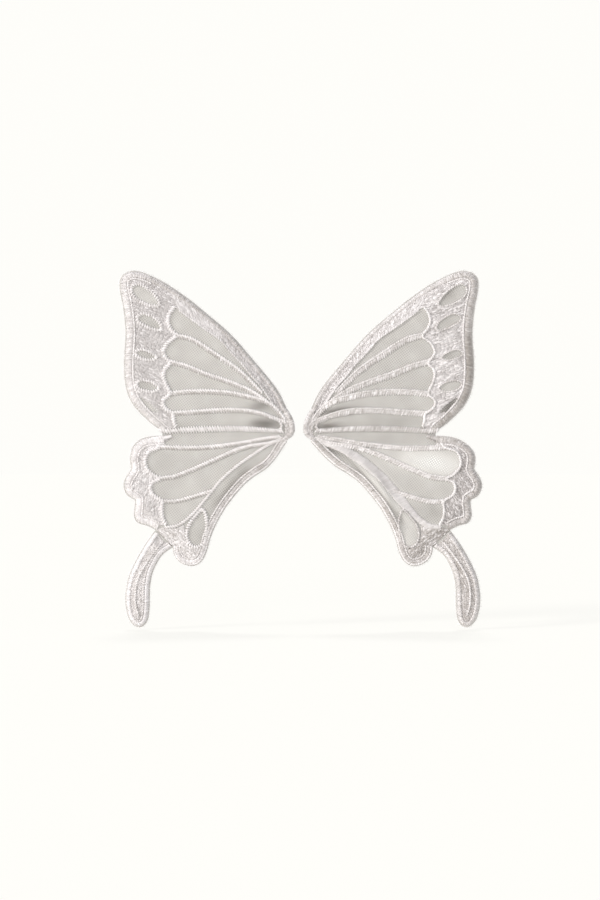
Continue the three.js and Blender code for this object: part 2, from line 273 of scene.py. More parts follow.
FOREWING_WINDOWS = [
    (55.6, 55.6), (57.6, 52.5), (58.3, 49.5), (57.2, 46), (54.8, 42.7), (58, 40), (60, 37),
    (60.1, 34.4), (57.4, 30.6), (59.6, 28.2), (60.3, 25.4), (59.4, 21.8), (57.4, 17),
    (59.9, 14.8), (60.5, 12.5), (59.2, 10.2), (56.1, 8.1), (55.8, 5.6), (55, 2.6),
]
HINDWING_WINDOWS = [
    (62.6, -2.9), (63.4, -6.6), (68, -8.4), (70.1, -12), (69.6, -16), (66.2, -19.4),
    (63.3, -20.8), (66.8, -22.2), (67.8, -25.2), (66.2, -28.4), (62.6, -30.6), (62.8, -34),
    (62.4, -38), (60.8, -41.2),
]
FOREWING_VEINS = [
    [(17, 17.4), (25, 25.5), (30, 29.5), (36, 33.5), (42, 37.5), (48, 41), (55, 42.8)],
    [(15, 13.6), (20, 17), (26, 20), (36, 23.7), (42, 25.7), (50, 29), (57.6, 31)],
    [(7, 5.6), (10, 9.6), (14, 12.8), (20, 14.8), (30, 17), (42, 17.8), (50, 17.6), (58, 16.6)],
    [(6.6, 4), (15, 7.3), (22, 9), (30, 9.5), (38, 9.3), (45, 8.7), (56.4, 8)],
]
TRUNK = [
    (6.6, -3.3), (13, -5.2), (18, -7.6), (25, -12), (30, -15.7), (36, -21), (41, -27), (47, -34.3),
    (51.5, -38.8), (56, -41.6), (61.2, -42.4),
]
BRANCH = [(40.6, -26.5), (46, -28.2), (52, -30), (57, -31), (63, -30.9)]
HINDWING_VEINS = [
    [(8.6, -2.5), (16, -3.4), (25, -5), (35, -6.3), (45, -7.2), (55, -7.2), (64, -6.8)],
    [
        (8.4, -3.8), (14, -5.4), (22, -6.4), (30, -8.7), (40, -13), (50, -17.4), (57, -20), (64, -20.9),
    ],
]
LOBE_LOOP = [
    (44.6, -34.4), (48.6, -38.4), (51, -42.4), (51.6, -46.4), (50, -50.2), (46.7, -51.2),
    (44, -49.2), (42.8, -44.4), (42.8, -38.6),
]
TEARDROPS = [
    [
        (61.9, 56.4), (63.8, 60.4), (68, 64.2), (71.8, 65.8), (74.2, 64.5), (74.4, 61.6),
        (71.5, 58.6), (66, 56.1),
    ],
    [
        (61.2, 45.4), (61.8, 48.4), (65, 51.2), (69, 52.6), (71.7, 51.5), (71.7, 49.4),
        (69.5, 47.7), (64.8, 45.6),
    ],
    [(63.2, 33), (65.6, 35.2), (69.5, 36.7), (72.2, 36.1), (72.7, 34.5), (70.8, 33), (66.2, 31.9)],
    [(62, 19.4), (65, 22), (69.4, 23), (72, 22.3), (72.2, 20.5), (70, 18.7), (65.2, 17.8)],
]
CRESCENT = [(62.4, 8.9), (65.6, 9), (68.6, 11.2), (70.6, 15.2), (66.4, 12.8)]
SEAM = [(7.5, 0.4), (18, 1.1), (30, 1.5), (45, 1.2), (58, 0.5), (62.0, 0.9)]
MIDRIB = [
    (62.8, -49.4), (67, -54.8), (71, -60.7), (73.5, -66), (74.4, -71.5), (74.2, -77), (73, -81.2),
]
LEADING_INNER = [  # where the band of thread behind the leading edge ends
    (9.4, 8.9), (13, 14.6), (17, 20.5), (21, 25), (25, 30), (30, 35.3), (35, 41), (42, 46),
    (48, 50.3), (53, 54),
]
ROOT_RIM = [(6.3, 9.9), (4.7, 7.4), (3.3, 4.2), (2.9, 1.2), (3.5, -0.8), (5.2, -2.3), (6.6, -3.2)]
ROOT_INNER = [(6.2, -1.4), (6.0, 1), (6.4, 5), (6.8, 9.4)]  # the other side of the tack, going back up
ROOT_LOOP = [(13, 6.6), (9.4, 5.2), (7.8, 3.2), (8.4, 1.2), (12, 0.8)]
NOTCH_RUN = [(57, -1.8), (59, -2.4), (62, -3), (65, -3.6)]
LOBE_FILL = [
    (52.6, -41.2), (55.5, -42.6), (60, -43), (62.5, -42.6), (65.2, -43.5), (57.8, -50.8),
    (55.8, -53.8), (54, -56.6), (51, -57.8), (47.8, -57.4), (45.4, -55.4), (44.4, -52.4),
    (46.7, -52), (50.5, -51), (52.4, -46.6),
]

# ------------------------------------------------------------------ relief, in mm

FOREWING_OUTLINE = np.vstack([spline(LEADING_EDGE, 1.0), [(ROOT_START, FOLD_TOP), (ROOT_START, 10.4)]])
HINDWING_OUTLINE = np.vstack([
    *(spline(lobe, 1.0) for lobe in OUTER_LOBES), spline(INNER_EDGE, 1.0), [(60.9, FOLD_BOTTOM)],
])
TAIL_OUTLINE = np.vstack([spline(TAIL_EDGE, 1.0), [TAIL_EDGE[0]]])
GRID_STEP = 0.75
GRID_LOW = np.array((0.0, -90.0))
GRID_SHAPE = (112, 220)
BATCHES = 12  # the grid is worked through in parts, to save memory
PILLOW_HEIGHT = 1.6
PILLOW_REACH = 7.5  # from the edge to where the cloth is at its full height
TAIL_REACH = PILLOW_REACH * 0.7
TAIL_START = 56  # nothing nearer to the middle of the pair than this belongs to a tail
# How far the cloth stays calm on each side of the fold, beyond the root and on each side of the neck
CALM_FOLD = 7
CALM_ROOT = 12
CALM_ROOT_START = 6.5
CALM_NECK = 5
# A faint ripple: its height, how far u and w go for one radian of it, and each wing's phase
RIPPLE_HEIGHT = 0.35
RIPPLE_U = 8.0
RIPPLE_W = 10.0
RIPPLE_PHASE = {"left": 0.4, "right": 1.7}
FOLD_FADE = 0.2  # the share of a soft fold's length in which it rises or dies away
DRIFT_DEPTH = 8  # the hindwing's drift is full this far below the fold
DRIFT_REACH = 12  # and this far out from the root
# Soft folds in the loose cloth: from, to, half width and height
FOLDS = {
    "left": [((16, -12), (36, -37), 1.8, 0.35)],
    "right": [
        ((15, -6), (43, -37), 2.3, 1.4), ((22, -8.5), (50, -42), 1.9, 1.2),
        ((31, -15), (46, -50), 1.6, 1.0), ((42, -11), (60, -19), 1.0, 0.6),
        ((13, -8.5), (33, -31), 1.1, 0.7),
    ],
}


def pillow_grid():
    """How far the cloth swells at each grid point, 0 to 1, and how much of any relief is let through.

    Both are 0 at the joints, and the swell is 0 at the edges."""
    rows = [GRID_LOW[k] + GRID_STEP * np.arange(GRID_SHAPE[k]) for k in (0, 1)]
    q = np.stack(np.meshgrid(*rows, indexing="ij"), -1).reshape(-1, 2)
    height = np.zeros(len(q))
    tail_side = (q - NECK_MIDDLE) @ NECK_OUT > 0
    in_tail = tail_side & (q[:, 0] > TAIL_START)
    for outline, chosen, reach in (
        (FOREWING_OUTLINE, q[:, 1] > FOLD, PILLOW_REACH),
        (HINDWING_OUTLINE, (q[:, 1] <= FOLD) & ~in_tail, PILLOW_REACH),
        (TAIL_OUTLINE, in_tail, TAIL_REACH),
    ):
        place = np.flatnonzero(chosen)
        for part in np.array_split(place, BATCHES):
            within = inside(outline, q[part])
            slope = 1 - np.clip(distance_to(outline, q[part]) / reach, 0, 1)
            height[part] = within * (1 - slope**2)
    calm = smooth(np.abs(q[:, 1] - FOLD) / CALM_FOLD) * smooth((q[:, 0] - CALM_ROOT_START) / CALM_ROOT)
    calm *= smooth(np.abs((q - NECK_MIDDLE) @ NECK_OUT) / CALM_NECK)
    return (height * calm).reshape(GRID_SHAPE), calm.reshape(GRID_SHAPE)


PILLOW, CALM = pillow_grid()


def sampled(grid, uw):
    """Bilinear values of a grid at points."""
    place = np.clip((uw - GRID_LOW) / GRID_STEP, 0, np.array(GRID_SHAPE) - 1.001)
    i = place.astype(int)
    f = place - i
    i, j, f, g = i[:, 0], i[:, 1], f[:, 0], f[:, 1]
    low = grid[i, j] * (1 - f) + grid[i + 1, j] * f
    high = grid[i, j + 1] * (1 - f) + grid[i + 1, j + 1] * f
    return low * (1 - g) + high * g


def swell(uw, name):
    """The relief that every piece of a wing follows."""
    u, w = uw[:, 0], uw[:, 1]
    phase = RIPPLE_PHASE[name]
    calm = sampled(CALM, uw)
    height = PILLOW_HEIGHT * sampled(PILLOW, uw)
    height += RIPPLE_HEIGHT * calm * np.sin(u / RIPPLE_U + phase) * np.sin(w / RIPPLE_W + 2 * phase)
    for start, end, width, rise in FOLDS[name]:
        a, run = np.array(start, float), np.subtract(end, start).astype(float)
        along = ((uw - a) @ run) / (run @ run)
        off = np.linalg.norm(uw - (a + np.clip(along, 0, 1)[:, None] * run), axis=1)
        ridge = rise * calm * np.exp(-((off / width) ** 2))
        height += ridge * smooth(along / FOLD_FADE) * smooth((1 - along) / FOLD_FADE)
    return height


def settle(uw, side):
    """(u, w) to x in mm. Away from the root both hindwings lie a little to the right."""
    depth = np.clip((FOLD_BOTTOM - uw[:, 1]) / DRIFT_DEPTH, 0, 1)
    reach = np.clip((uw[:, 0] - ROOT_START) / DRIFT_REACH, 0, 1)
    return side * uw[:, 0] + DRIFT * depth * reach


def world(uwd, name):
    """(u, w, depth) in mm to (x, y, z) in metres, with the wing's relief."""
    height = uwd[:, 2] + swell(uwd[:, :2], name)
    return np.column_stack([settle(uwd[:, :2], SIDES[name]), -height, uwd[:, 1]]) / 1000


# ------------------------------------------------------------------ thread work

PITCH = 0.46  # from one stitch to the next, in mm
THREAD = 0.5  # how wide a stitch is, in mm
RINGS = 7  # along a stitch
SECTION = ((-0.5, 0.0), (0.0, 0.45), (0.5, 0.0), (0.0, -0.35))  # of a stitch: across and up
END_TAPER = 0.55  # the share of its width that a stitch or a core has at its ends
CLUMP = 3  # neighbouring stitches that share part of their tone
GRAIN = 0.45  # how much the tone varies along a stitch
SPARKLE_TONE = 1.4
TOOTH_SPREAD = 0.6  # stitches with teeth are coarser and further apart
TOOTH_TONE = 2.2  # how much darker the short stitches would be for teeth of 1
CORE_STEP = 0.9
CORE_WIDTH = 0.82  # of the satin's width, less where there are teeth
CORE_TOOTH_LOSS = 0.6
CORE_RISE = 0.8
# painted shade: the padding under the satin is darker, standing for the shade between its stitches
CORE_PAINTED_SHADE = 0.9  # how much darker than the satin
SHORTEST_ROW = 0.5
STITCH_OVERLAP = 0.05
COMB_PITCH = 0.44
UNDERLAY_DEPTH = 0.12


class Work:
    """Vertices in (u, w, d) mm, faces and a tone for each vertex, gathered for one piece."""

    def __init__(self, seed):
        self.random = np.random.default_rng(seed)
        self.verts, self.faces, self.tones, self.count = [], [], [], 0

    def add(self, verts, faces, tones):
        self.verts.append(verts)
        self.faces += (np.asarray(faces) + self.count).tolist()
        self.tones.append(tones)
        self.count += len(verts)

    def stitches(self, start, end, base, rise, thread, tone, noise=0.3, sparkle=0.0, grain=GRAIN):
        """Each stitch is an arched, flattened thread from start to end."""
        n = len(start)
        t = 0.5 - 0.5 * np.cos(np.linspace(0, math.pi, RINGS))
        run = end - start
        across = np.column_stack([run[:, 1], -run[:, 0]])
        across /= np.linalg.norm(across, axis=1)[:, None] + 1e-9
        path = start[:, None] + run[:, None] * t[None, :, None]
        arch = np.sqrt(np.clip(1 - (2 * t - 1) ** 2, 0, 1))
        lift = base + profile(rise, n)[:, None] * arch[None]
        taper = np.r_[END_TAPER, np.ones(RINGS - 2), END_TAPER]
        size = thread * (1 + 0.1 * self.random.standard_normal(n))[:, None] * taper[None]
        verts = np.empty((n, RINGS, len(SECTION), 3))
        for k, (aside, up) in enumerate(SECTION):
            verts[:, :, k, :2] = path + across[:, None] * (size * aside)[..., None]
            verts[:, :, k, 2] = lift + size * up
        index = np.arange(n * RINGS * len(SECTION)).reshape(n, RINGS, -1)
        here, there = index[:, :-1], index[:, 1:]
        quads = np.stack([here, np.roll(here, -1, 2), np.roll(there, -1, 2), there], -1).reshape(-1, 4)
        caps = np.vstack([index[:, 0, ::-1], index[:, -1]])
        clumps = np.repeat(self.random.standard_normal(n // CLUMP + 1), CLUMP)[:n]
        shade = profile(tone, n) + noise * (self.random.standard_normal(n) + 0.5 * clumps)
        shade += SPARKLE_TONE * (self.random.random(n) < sparkle)
        shade = shade[:, None] + grain * self.random.standard_normal((n, RINGS))
        self.add(verts.reshape(-1, 3), np.vstack([quads, caps]), np.repeat(shade.ravel(), len(SECTION)))

    def core(self, line, width, rise, base, tone):
        """The closed, domed padding under a satin band."""
        line = resample(line, CORE_STEP)
        across = right_normals(line)
        width = profile(width, len(line))
        width[[0, -1]] *= END_TAPER
        angle = np.linspace(math.pi, 0, 7)
        aside, up = np.r_[np.cos(angle), 0.6, -0.6], np.r_[np.sin(angle), -0.25, -0.25]
        ring = len(aside)
        verts = np.empty((len(line), ring, 3))
        verts[..., :2] = line[:, None] + across[:, None] * (width[:, None] / 2 * aside)[..., None]
        verts[..., 2] = base + rise * up
        index = np.arange(len(line) * ring).reshape(len(line), ring)
        here, there = index[:-1], index[1:]
        quads = np.stack([here, np.roll(here, -1, 1), np.roll(there, -1, 1), there], -1).reshape(-1, 4)
        halves = [(0, 1, 7, 8), (1, 2, 6, 7), (2, 3, 5, 6), (3, 4, 5, 5)]
        caps = [[row[k] for k in half] for row in (index[0, ::-1], index[-1]) for half in halves]
        self.add(verts.reshape(-1, 3), np.vstack([quads, caps]), np.full(len(line) * ring, tone))

    def satin(self, line, width, rise, base=THREAD_BASE, *, tone, teeth, slant=0.5, thread=THREAD,
              noise=0.25, sparkle=0.0, grain=GRAIN):
        """Close stitches from side to side over a padded core. Every other stitch is shorter by teeth."""
        core_width = np.atleast_1d(width) * (CORE_WIDTH - CORE_TOOTH_LOSS * teeth)
        # the core's darker tone is painted shade under the satin
        self.core(line, core_width, rise * CORE_RISE, base, np.mean(tone) - CORE_PAINTED_SHADE)
        pitch = PITCH * (1 + TOOTH_SPREAD * teeth)
        thread = thread * (1 + TOOTH_SPREAD * teeth)
        line = resample(line, pitch)
        across = right_normals(line)
        n = len(line)
        along = np.column_stack([-across[:, 1], across[:, 0]]) * pitch * slant
        short = 1 - teeth * (np.arange(n) % 2)
        uneven = 0.04 * self.random.standard_normal((n, 2))
        reach = profile(width, n)[:, None] / 2 * (short[:, None] + uneven)
        start, end = line + across * reach[:, :1] - along, line - across * reach[:, 1:] + along
        height = rise * (1 + 0.06 * self.random.standard_normal(n)) * (1 - 0.25 * (1 - short))
        shade = profile(tone, n) - TOOTH_TONE * (1 - short)
        self.stitches(start, end, base, height, thread, shade, noise, sparkle, grain)

    def tatami(self, region, holes, angle, base=THREAD_BASE, pitch=PITCH, length=2.0, rise=0.2, *,
               tone, noise=0.3, sparkle=0.0, grain=GRAIN):
        """Parallel rows of short stitches that fill a region, with their ends staggered.

        angle is the way that the rows run, in degrees."""
        angle = math.radians(angle)
        turn = np.array([(math.cos(angle), math.sin(angle)), (-math.sin(angle), math.cos(angle))])
        loops = [region @ turn.T] + [hole @ turn.T for hole in holes]
        low, high = loops[0][:, 1].min(), loops[0][:, 1].max()
        starts, ends = [], []
        for level in np.arange(low + pitch / 2, high, pitch):
            cuts = []
            for loop in loops:
                (x0, y0), (x1, y1) = loop.T, np.roll(loop, -1, 0).T
                hit = (y0 > level) != (y1 > level)
                cuts += list(x0[hit] + (level - y0[hit]) * (x1[hit] - x0[hit]) / (y1[hit] - y0[hit]))
            cuts.sort()
            for a, b in zip(cuts[::2], cuts[1::2]):
                if b - a < SHORTEST_ROW:
                    continue
                stops = np.r_[a, np.arange(a + length * self.random.uniform(0.25, 1), b - 0.4, length), b]
                stops[1:-1] += self.random.normal(size=len(stops) - 2) * length * 0.06
                starts += [(s - STITCH_OVERLAP, level) for s in stops[:-1]]
                ends += [(s + STITCH_OVERLAP, level) for s in stops[1:]]
        start, end = np.array(starts) @ turn, np.array(ends) @ turn
        height = rise * (1 + 0.2 * self.random.standard_normal(len(start)))
        self.stitches(start, end, base, height, THREAD * 1.1, tone, noise, sparkle, grain)

    def underlay(self, region, holes, angle):
        """Sparse, long rows that lie under a filled region, dark as painted shade under the fill."""
        self.tatami(region, holes, angle, THREAD_BASE - UNDERLAY_DEPTH, 0.8, 4, 0.05, tone=-0.9)

    def comb(self, outer, inner, splits, rise, tone, sparkle):
        """Long stitches laid from one line to another, broken at uneven places."""
        n = int(max(len(outer), len(inner)) / COMB_PITCH)
        a, b = (np.column_stack([profile(line[:, k], n) for k in (0, 1)]) for line in (outer, inner))
        stops = [np.zeros(n)]
        for split in splits:
            stops.append(split + 0.1 * (np.arange(n) % 2 - 0.5) + 0.05 * self.random.standard_normal(n))
        stops.append(1 + 0.02 * self.random.standard_normal(n))
        for low, high in zip(stops[:-1], stops[1:]):
            start, end = a + (b - a) * low[:, None], a + (b - a) * high[:, None]
            shade = tone + 0.45 * (np.arange(n) % 3 == 0)
            self.stitches(start, end, THREAD_BASE, rise, THREAD * 1.05, shade, 0.3, sparkle)


# ------------------------------------------------------------------ meshes

def make_mesh(name, wing, verts, faces, material, tones):
    """A smooth mesh that carries a tone at each vertex. The left wing's faces are turned over."""
    if SIDES[wing] < 0:
        faces = [face[::-1] for face in faces]
    faces = [list(dict.fromkeys(face)) for face in faces]
    mesh = bpy.data.meshes.new(name)
    mesh.from_pydata(world(verts, wing).tolist(), [], faces)
    mesh.polygons.foreach_set("use_smooth", [True] * len(mesh.polygons))
    mesh.attributes.new("tone", "FLOAT", "POINT").data.foreach_set("value", tones.astype(np.float32))
    mesh.materials.append(material)
    piece = bpy.data.objects.new(name, mesh)
    bpy.context.collection.objects.link(piece)
    return piece


def thread_piece(node, wing, work, slot):
    """A piece of thread work that stands for a CAD node."""
    verts, tones = np.vstack(work.verts), np.concatenate(work.tones)
    piece = make_mesh(f"{node}_stitches", wing, verts, work.faces, THREADS[slot], tones)
    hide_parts(node)
    return piece


# ------------------------------------------------------------------ materials

def new_material(name, roughness, sheen):
    material = bpy.data.materials.new(name)
    material.use_nodes = True
    shader = material.node_tree.nodes["Principled BSDF"]
    shader.inputs["Roughness"].default_value = roughness
    shader.inputs["Sheen Weight"].default_value = sheen
    return material, shader, material.node_tree.nodes, material.node_tree.links


def math_node(nodes, links, operation, first, second, third=None):
    node = nodes.new("ShaderNodeMath")
    node.operation = operation
    for socket, value in zip(node.inputs, (first, second, third)):
        if isinstance(value, (int, float)):
            socket.default_value = value
        elif value is not None:
            links.new(value, socket)
    return node.outputs[0]


def noise_node(nodes, links, place, scale):
    noise = nodes.new("ShaderNodeTexNoise")
    noise.inputs["Scale"].default_value = scale
    links.new(place, noise.inputs["Vector"])
    return noise.outputs["Fac"]


def mixed_color(nodes, links, factor, low, high):
    mix = nodes.new("ShaderNodeMix")
    mix.data_type = "RGBA"
    mix.inputs["A"].default_value = (*low, 1)
    mix.inputs["B"].default_value = (*high, 1)
    links.new(factor, mix.inputs["Factor"])
    return mix.outputs["Result"]


def bump_node(nodes, links, height, strength, distance):
    bump = nodes.new("ShaderNodeBump")
    bump.inputs["Strength"].default_value = strength
    bump.inputs["Distance"].default_value = distance
    links.new(height, bump.inputs["Height"])
    return bump.outputs[0]


def thread_material(name, low, high, roughness):
    """Lustrous thread: each stitch has a slightly different tone, and a fine grain stands for its twist."""
    material, shader, nodes, links = new_material(name, roughness, 0.2)
    shader.inputs["Specular IOR Level"].default_value = 0.5
    tone = nodes.new("ShaderNodeAttribute")
    tone.attribute_name = "tone"
    place = nodes.new("ShaderNodeTexCoord").outputs["Object"]
    cloud = math_node(nodes, links, "MULTIPLY_ADD", noise_node(nodes, links, place, 150), 0.4, 0.25)
    factor = math_node(nodes, links, "MULTIPLY_ADD", tone.outputs["Fac"], 0.33, cloud)
    links.new(mixed_color(nodes, links, factor, low, high), shader.inputs["Base Color"])
    grain = noise_node(nodes, links, place, 5200)
    links.new(bump_node(nodes, links, grain, 0.25, 0.00008), shader.inputs["Normal"])
    return material


def organza_material(name, low, high, cover, turn):
    """Sheer plain weave: two sets of fine threads, with nearly clear cloth between them."""
    material, shader, nodes, links = new_material(name, 0.6, 0.3)
    place = nodes.new("ShaderNodeTexCoord").outputs["Object"]
    turned = nodes.new("ShaderNodeMapping")
    turned.inputs["Rotation"].default_value = (0, math.radians(turn), 0)
    links.new(place, turned.inputs["Vector"])
    waves = []
    for direction in ("X", "Z"):
        wave = nodes.new("ShaderNodeTexWave")
        wave.bands_direction = direction
        wave.inputs["Scale"].default_value = WEAVE_SCALE
        wave.inputs["Distortion"].default_value = 0.5
        links.new(turned.outputs[0], wave.inputs["Vector"])
        waves.append(wave.outputs["Fac"])
    weave = math_node(nodes, links, "MAXIMUM", *waves)
    tone = nodes.new("ShaderNodeAttribute")
    tone.attribute_name = "tone"
    level = math_node(nodes, links, "MULTIPLY_ADD", weave, 0.8, cover - 0.56)
    level = math_node(nodes, links, "MULTIPLY_ADD", tone.outputs["Fac"], -0.3, level)
    links.new(math_node(nodes, links, "MINIMUM", math_node(nodes, links, "MAXIMUM", level, 0.12), 1.0),
              shader.inputs["Alpha"])
    cloud = math_node(nodes, links, "MULTIPLY_ADD", noise_node(nodes, links, place, 110), 0.3, 0.35)
    cloud = math_node(nodes, links, "MULTIPLY_ADD", weave, 0.3, cloud)
    factor = math_node(nodes, links, "MULTIPLY_ADD", tone.outputs["Fac"], 0.5, cloud)
    links.new(mixed_color(nodes, links, factor, low, high), shader.inputs["Base Color"])
    links.new(bump_node(nodes, links, weave, 0.4, 0.00006), shader.inputs["Normal"])
    return material


THREADS = {
    "satin_thread": thread_material("satin_thread", (0.42, 0.38, 0.35), (0.95, 0.91, 0.905), 0.36),
    "fill_thread": thread_material("fill_thread", (0.38, 0.345, 0.33), (0.93, 0.89, 0.885), 0.42),
}
ORGANZA = {
    "back": organza_material("organza_back", (0.17, 0.155, 0.14), (0.65, 0.615, 0.575), 0.60, 31),
    "front": organza_material("organza_front", (0.17, 0.155, 0.14), (0.665, 0.63, 0.59), 0.59, 37),
}

# ------------------------------------------------------------------ how each wing is stitched

# The left wing's cords are broad and bright. The right wing's are finer, over broader ribs. The border
# tones are painted light and shade from a light on the left: bright where a border faces it, dark where it
# faces away.
# caps are the scalloped cords, rims the teardrops' and trunk the hindwing's main vein. Widths are in mm,
# and a list runs from the start of a line to its end.
STYLE = {
    "left": {
        "seed": 11, "grain": 0.2, "sparkle": 0.04, "teeth": 0.45,
        "caps": 2.1, "cap_tone": 1.6, "rims": 1.8, "rim_tone": 1.35, "rib": 2.1, "rib_tone": 0.0,
        "ridge": 1.35, "ridge_painted_highlight": 1.4, "fill_tone": 0.1, "leading_tone": -0.05, "seam_tone": 1.4,
        "trunk": [1.4, 1.4, 1.3, 1.5], "trunk_tone": 1.1, "trunk_teeth": 0.4,
        "fore_border_painted_light": [0, 0, -0.1, -0.2, -0.1, 0.7, 0.9, 0.8, 0.7, 0.5],
        "inner_tone": [0.9, 1.2, 0.5, 0.1, 0, 0, 0.1], "hind_border_painted_light": 1.3, "tail_border_painted_light": 1.7,
        "hind_fill": 0.5, "tail_fill": 0.5, "tail_piping": (0.5, 1), "loop_tone": 1.2,
    },
    "right": {
        "seed": 47, "grain": 0.35, "sparkle": 0.13, "teeth": 0.3,
        "caps": 1.25, "cap_tone": 1.2, "rims": 0.95, "rim_tone": 0.6, "rib": 3.0, "rib_tone": 0.45,
        "ridge": 0.85, "ridge_painted_highlight": 0.75, "fill_tone": 0.25, "leading_tone": 0.05, "seam_tone": 0.35,
        "trunk": [3.0, 4.4, 4.4, 1.8], "trunk_tone": 0.75, "trunk_teeth": 0.03,
        "fore_border_painted_light": [0.2, 0.4, 0.6, 0.6, 0.4, -0.1, -0.25, -1.25, -0.9, -0.5],
        "inner_tone": -0.3, "hind_border_painted_light": -0.3, "tail_border_painted_light": 0.5,
        "hind_fill": -0.65, "tail_fill": -0.45, "tail_piping": (0, 0), "loop_tone": 0.3,
    },
}
LEADING_WIDTH = [2.0, 1.8, 1.8, 1.9, 2.3, 3.2, 3.6, 3.6, 3.4, 2.6]
OUTER_WIDTH = 3.0
INNER_WIDTH = 2.5
TAIL_WIDTH = 2.6
BORDER_RISE = 1.15
BORDER_BASE = 0.1
BORDER_MARGIN = 0.45  # of cloth outside the edge cord, where the fray lies
PIPING_GAP = 0.2
PIPING_WIDTH = 0.8
PIPING_RISE = 0.55
FRAY_PITCH = 0.3
FRAY_THREAD = 0.1
FRAY_LEAN = 0.35
FRAY_REACH = (0.1, 0.85)
FRAY_TONE = 1.2
LINE_STEP = 0.8  # between the points of a line that thread follows
LOOP_STEP = 0.6
CAP_RISE = 0.75
RIB_SHAPE = np.array([0.75, 1, 1, 0.9])  # of its width, from its start to its end
RIB_RISE = 0.42
RIDGE_RISE = 0.66
RIDGE_ASIDE = 0.32  # of the rib's width


def border(work, line, width, tone, piping=(0, 1), piping_tone=1.0):
    """A broad, rounded edge cord with a frayed margin, and a fine bright line of stitches inside it.

    piping gives the part of the run, from 0 to 1, that has the fine line."""
    width = np.atleast_1d(np.asarray(width, float))
    middle = inset(line, width / 2 + BORDER_MARGIN)
    # painted light and shade: the tone given here makes the cord bright where it faces the light on the
    # left, dark where it faces away
    work.satin(middle, width, BORDER_RISE, BORDER_BASE, tone=tone, teeth=0.05, noise=0.16)
    inner = inset(line, width + BORDER_MARGIN + PIPING_GAP)
    first, last = (int(part * len(inner)) for part in piping)
    if last > first:
        work.satin(inner[first:last], PIPING_WIDTH, PIPING_RISE, tone=piping_tone, teeth=0.35, slant=1.0)
    root = resample(line, FRAY_PITCH)[2:-2]
    outward = -right_normals(root)
    n = len(root)
    lean = np.column_stack([-outward[:, 1], outward[:, 0]]) * work.random.normal(0, FRAY_LEAN, (n, 1))
    tips = root + (outward + lean) * work.random.uniform(*FRAY_REACH, (n, 1))
    work.stitches(root - outward * 0.5, tips, 0.3, 0.1, FRAY_THREAD, np.add(tone, FRAY_TONE))


def rib(work, points, width, style):
    """A broad low band with a raised ridge along its upper side, coloured bright as a painted highlight
    where the light falls on it.
    """
    line = spline(points, LINE_STEP)
    work.satin(line, RIB_SHAPE * width, RIB_RISE, tone=style["rib_tone"], teeth=style["teeth"],
               sparkle=style["sparkle"], slant=1.1, noise=0.18)
    ridge = inset(line, -width * RIDGE_ASIDE)
    # painted highlight: the ridge's bright tone stands for light on the rib's upper side
    work.satin(ridge, style["ridge"], RIDGE_RISE, tone=style["ridge_painted_highlight"], teeth=style["teeth"], slant=1.0)


def scallops(work, line, style):
    """The scalloped cord that closes the outer ends of the windows."""
    work.satin(line, style["caps"], CAP_RISE, tone=style["cap_tone"], teeth=style["teeth"], slant=1.0)


def outer_run():
    """The hindwing's outer edge, lobe after lobe."""
    runs = [spline(lobe, LINE_STEP) for lobe in OUTER_LOBES]
    return np.vstack([runs[0], runs[1][1:], runs[2][1:]])


def forewing_work(style):
    """The thread of a forewing: {node's own name: work}."""
    leading = spline(LEADING_EDGE, LINE_STEP)
    windows = spline(FOREWING_WINDOWS, LINE_STEP)
    drops = [spline(points, LOOP_STEP, closed=True) for points in TEARDROPS]
    inside_border = inset(leading, np.array(LEADING_WIDTH) * 0.85)
    tip, before_tip = (
        np.argmin(np.linalg.norm(inside_border - point, axis=1)) for point in ((58.5, 62.5), (54, 59.5))
    )
    seeds = iter(range(style["seed"], style["seed"] + 20))
    made = {}

    work = made["edge_cord"] = Work(next(seeds))
    border(work, leading, LEADING_WIDTH, style["fore_border_painted_light"], piping=(0.5, 0.99))

    work = made["seam_cord"] = Work(next(seeds))
    work.satin(spline(SEAM, LINE_STEP), [1.9, 2.8, 3.1, 2.9, 2.3], 0.9, tone=style["seam_tone"],
               teeth=style["teeth"], slant=1.1, sparkle=style["sparkle"])
    work.satin(spline(ROOT_LOOP, LOOP_STEP), 1.3, 0.8, tone=style["seam_tone"], teeth=style["teeth"])

    work = made["window_cord"] = Work(next(seeds))
    scallops(work, windows, style)

    for i, points in enumerate(FOREWING_VEINS):
        work = made[f"vein_{i + 1}"] = Work(next(seeds))
        rib(work, points, style["rib"], style)

    work = made["leading_fill"] = Work(next(seeds))
    inner = spline(LEADING_INNER, 1.0)
    work.comb(resample(inside_border[:tip], 1.0), inner, (0.33, 0.68), 0.3, style["leading_tone"],
              style["sparkle"])
    work.satin(inner, 0.95, 0.6, tone=0.9, teeth=style["teeth"], slant=1.0)

    work = made["margin_fill"] = Work(next(seeds))
    region = np.vstack([windows[::-1], [(53.2, 54.2)], inside_border[before_tip:]])
    holes = [inset(overlapped(drop), 0.15, LOOP_STEP) for drop in drops]
    holes.append(spline(CRESCENT, LOOP_STEP, closed=True))
    work.tatami(region, holes, 22, tone=style["fill_tone"], noise=style["grain"],
                sparkle=style["sparkle"] * 1.5, grain=style["grain"])
    work.underlay(region, holes, 112)

    for i, drop in enumerate(drops):
        work = made[f"teardrop_{i + 1}"] = Work(next(seeds))
        work.satin(overlapped(drop), style["rims"], 0.6, tone=style["rim_tone"], teeth=style["teeth"],
                   thread=0.45)
    return made


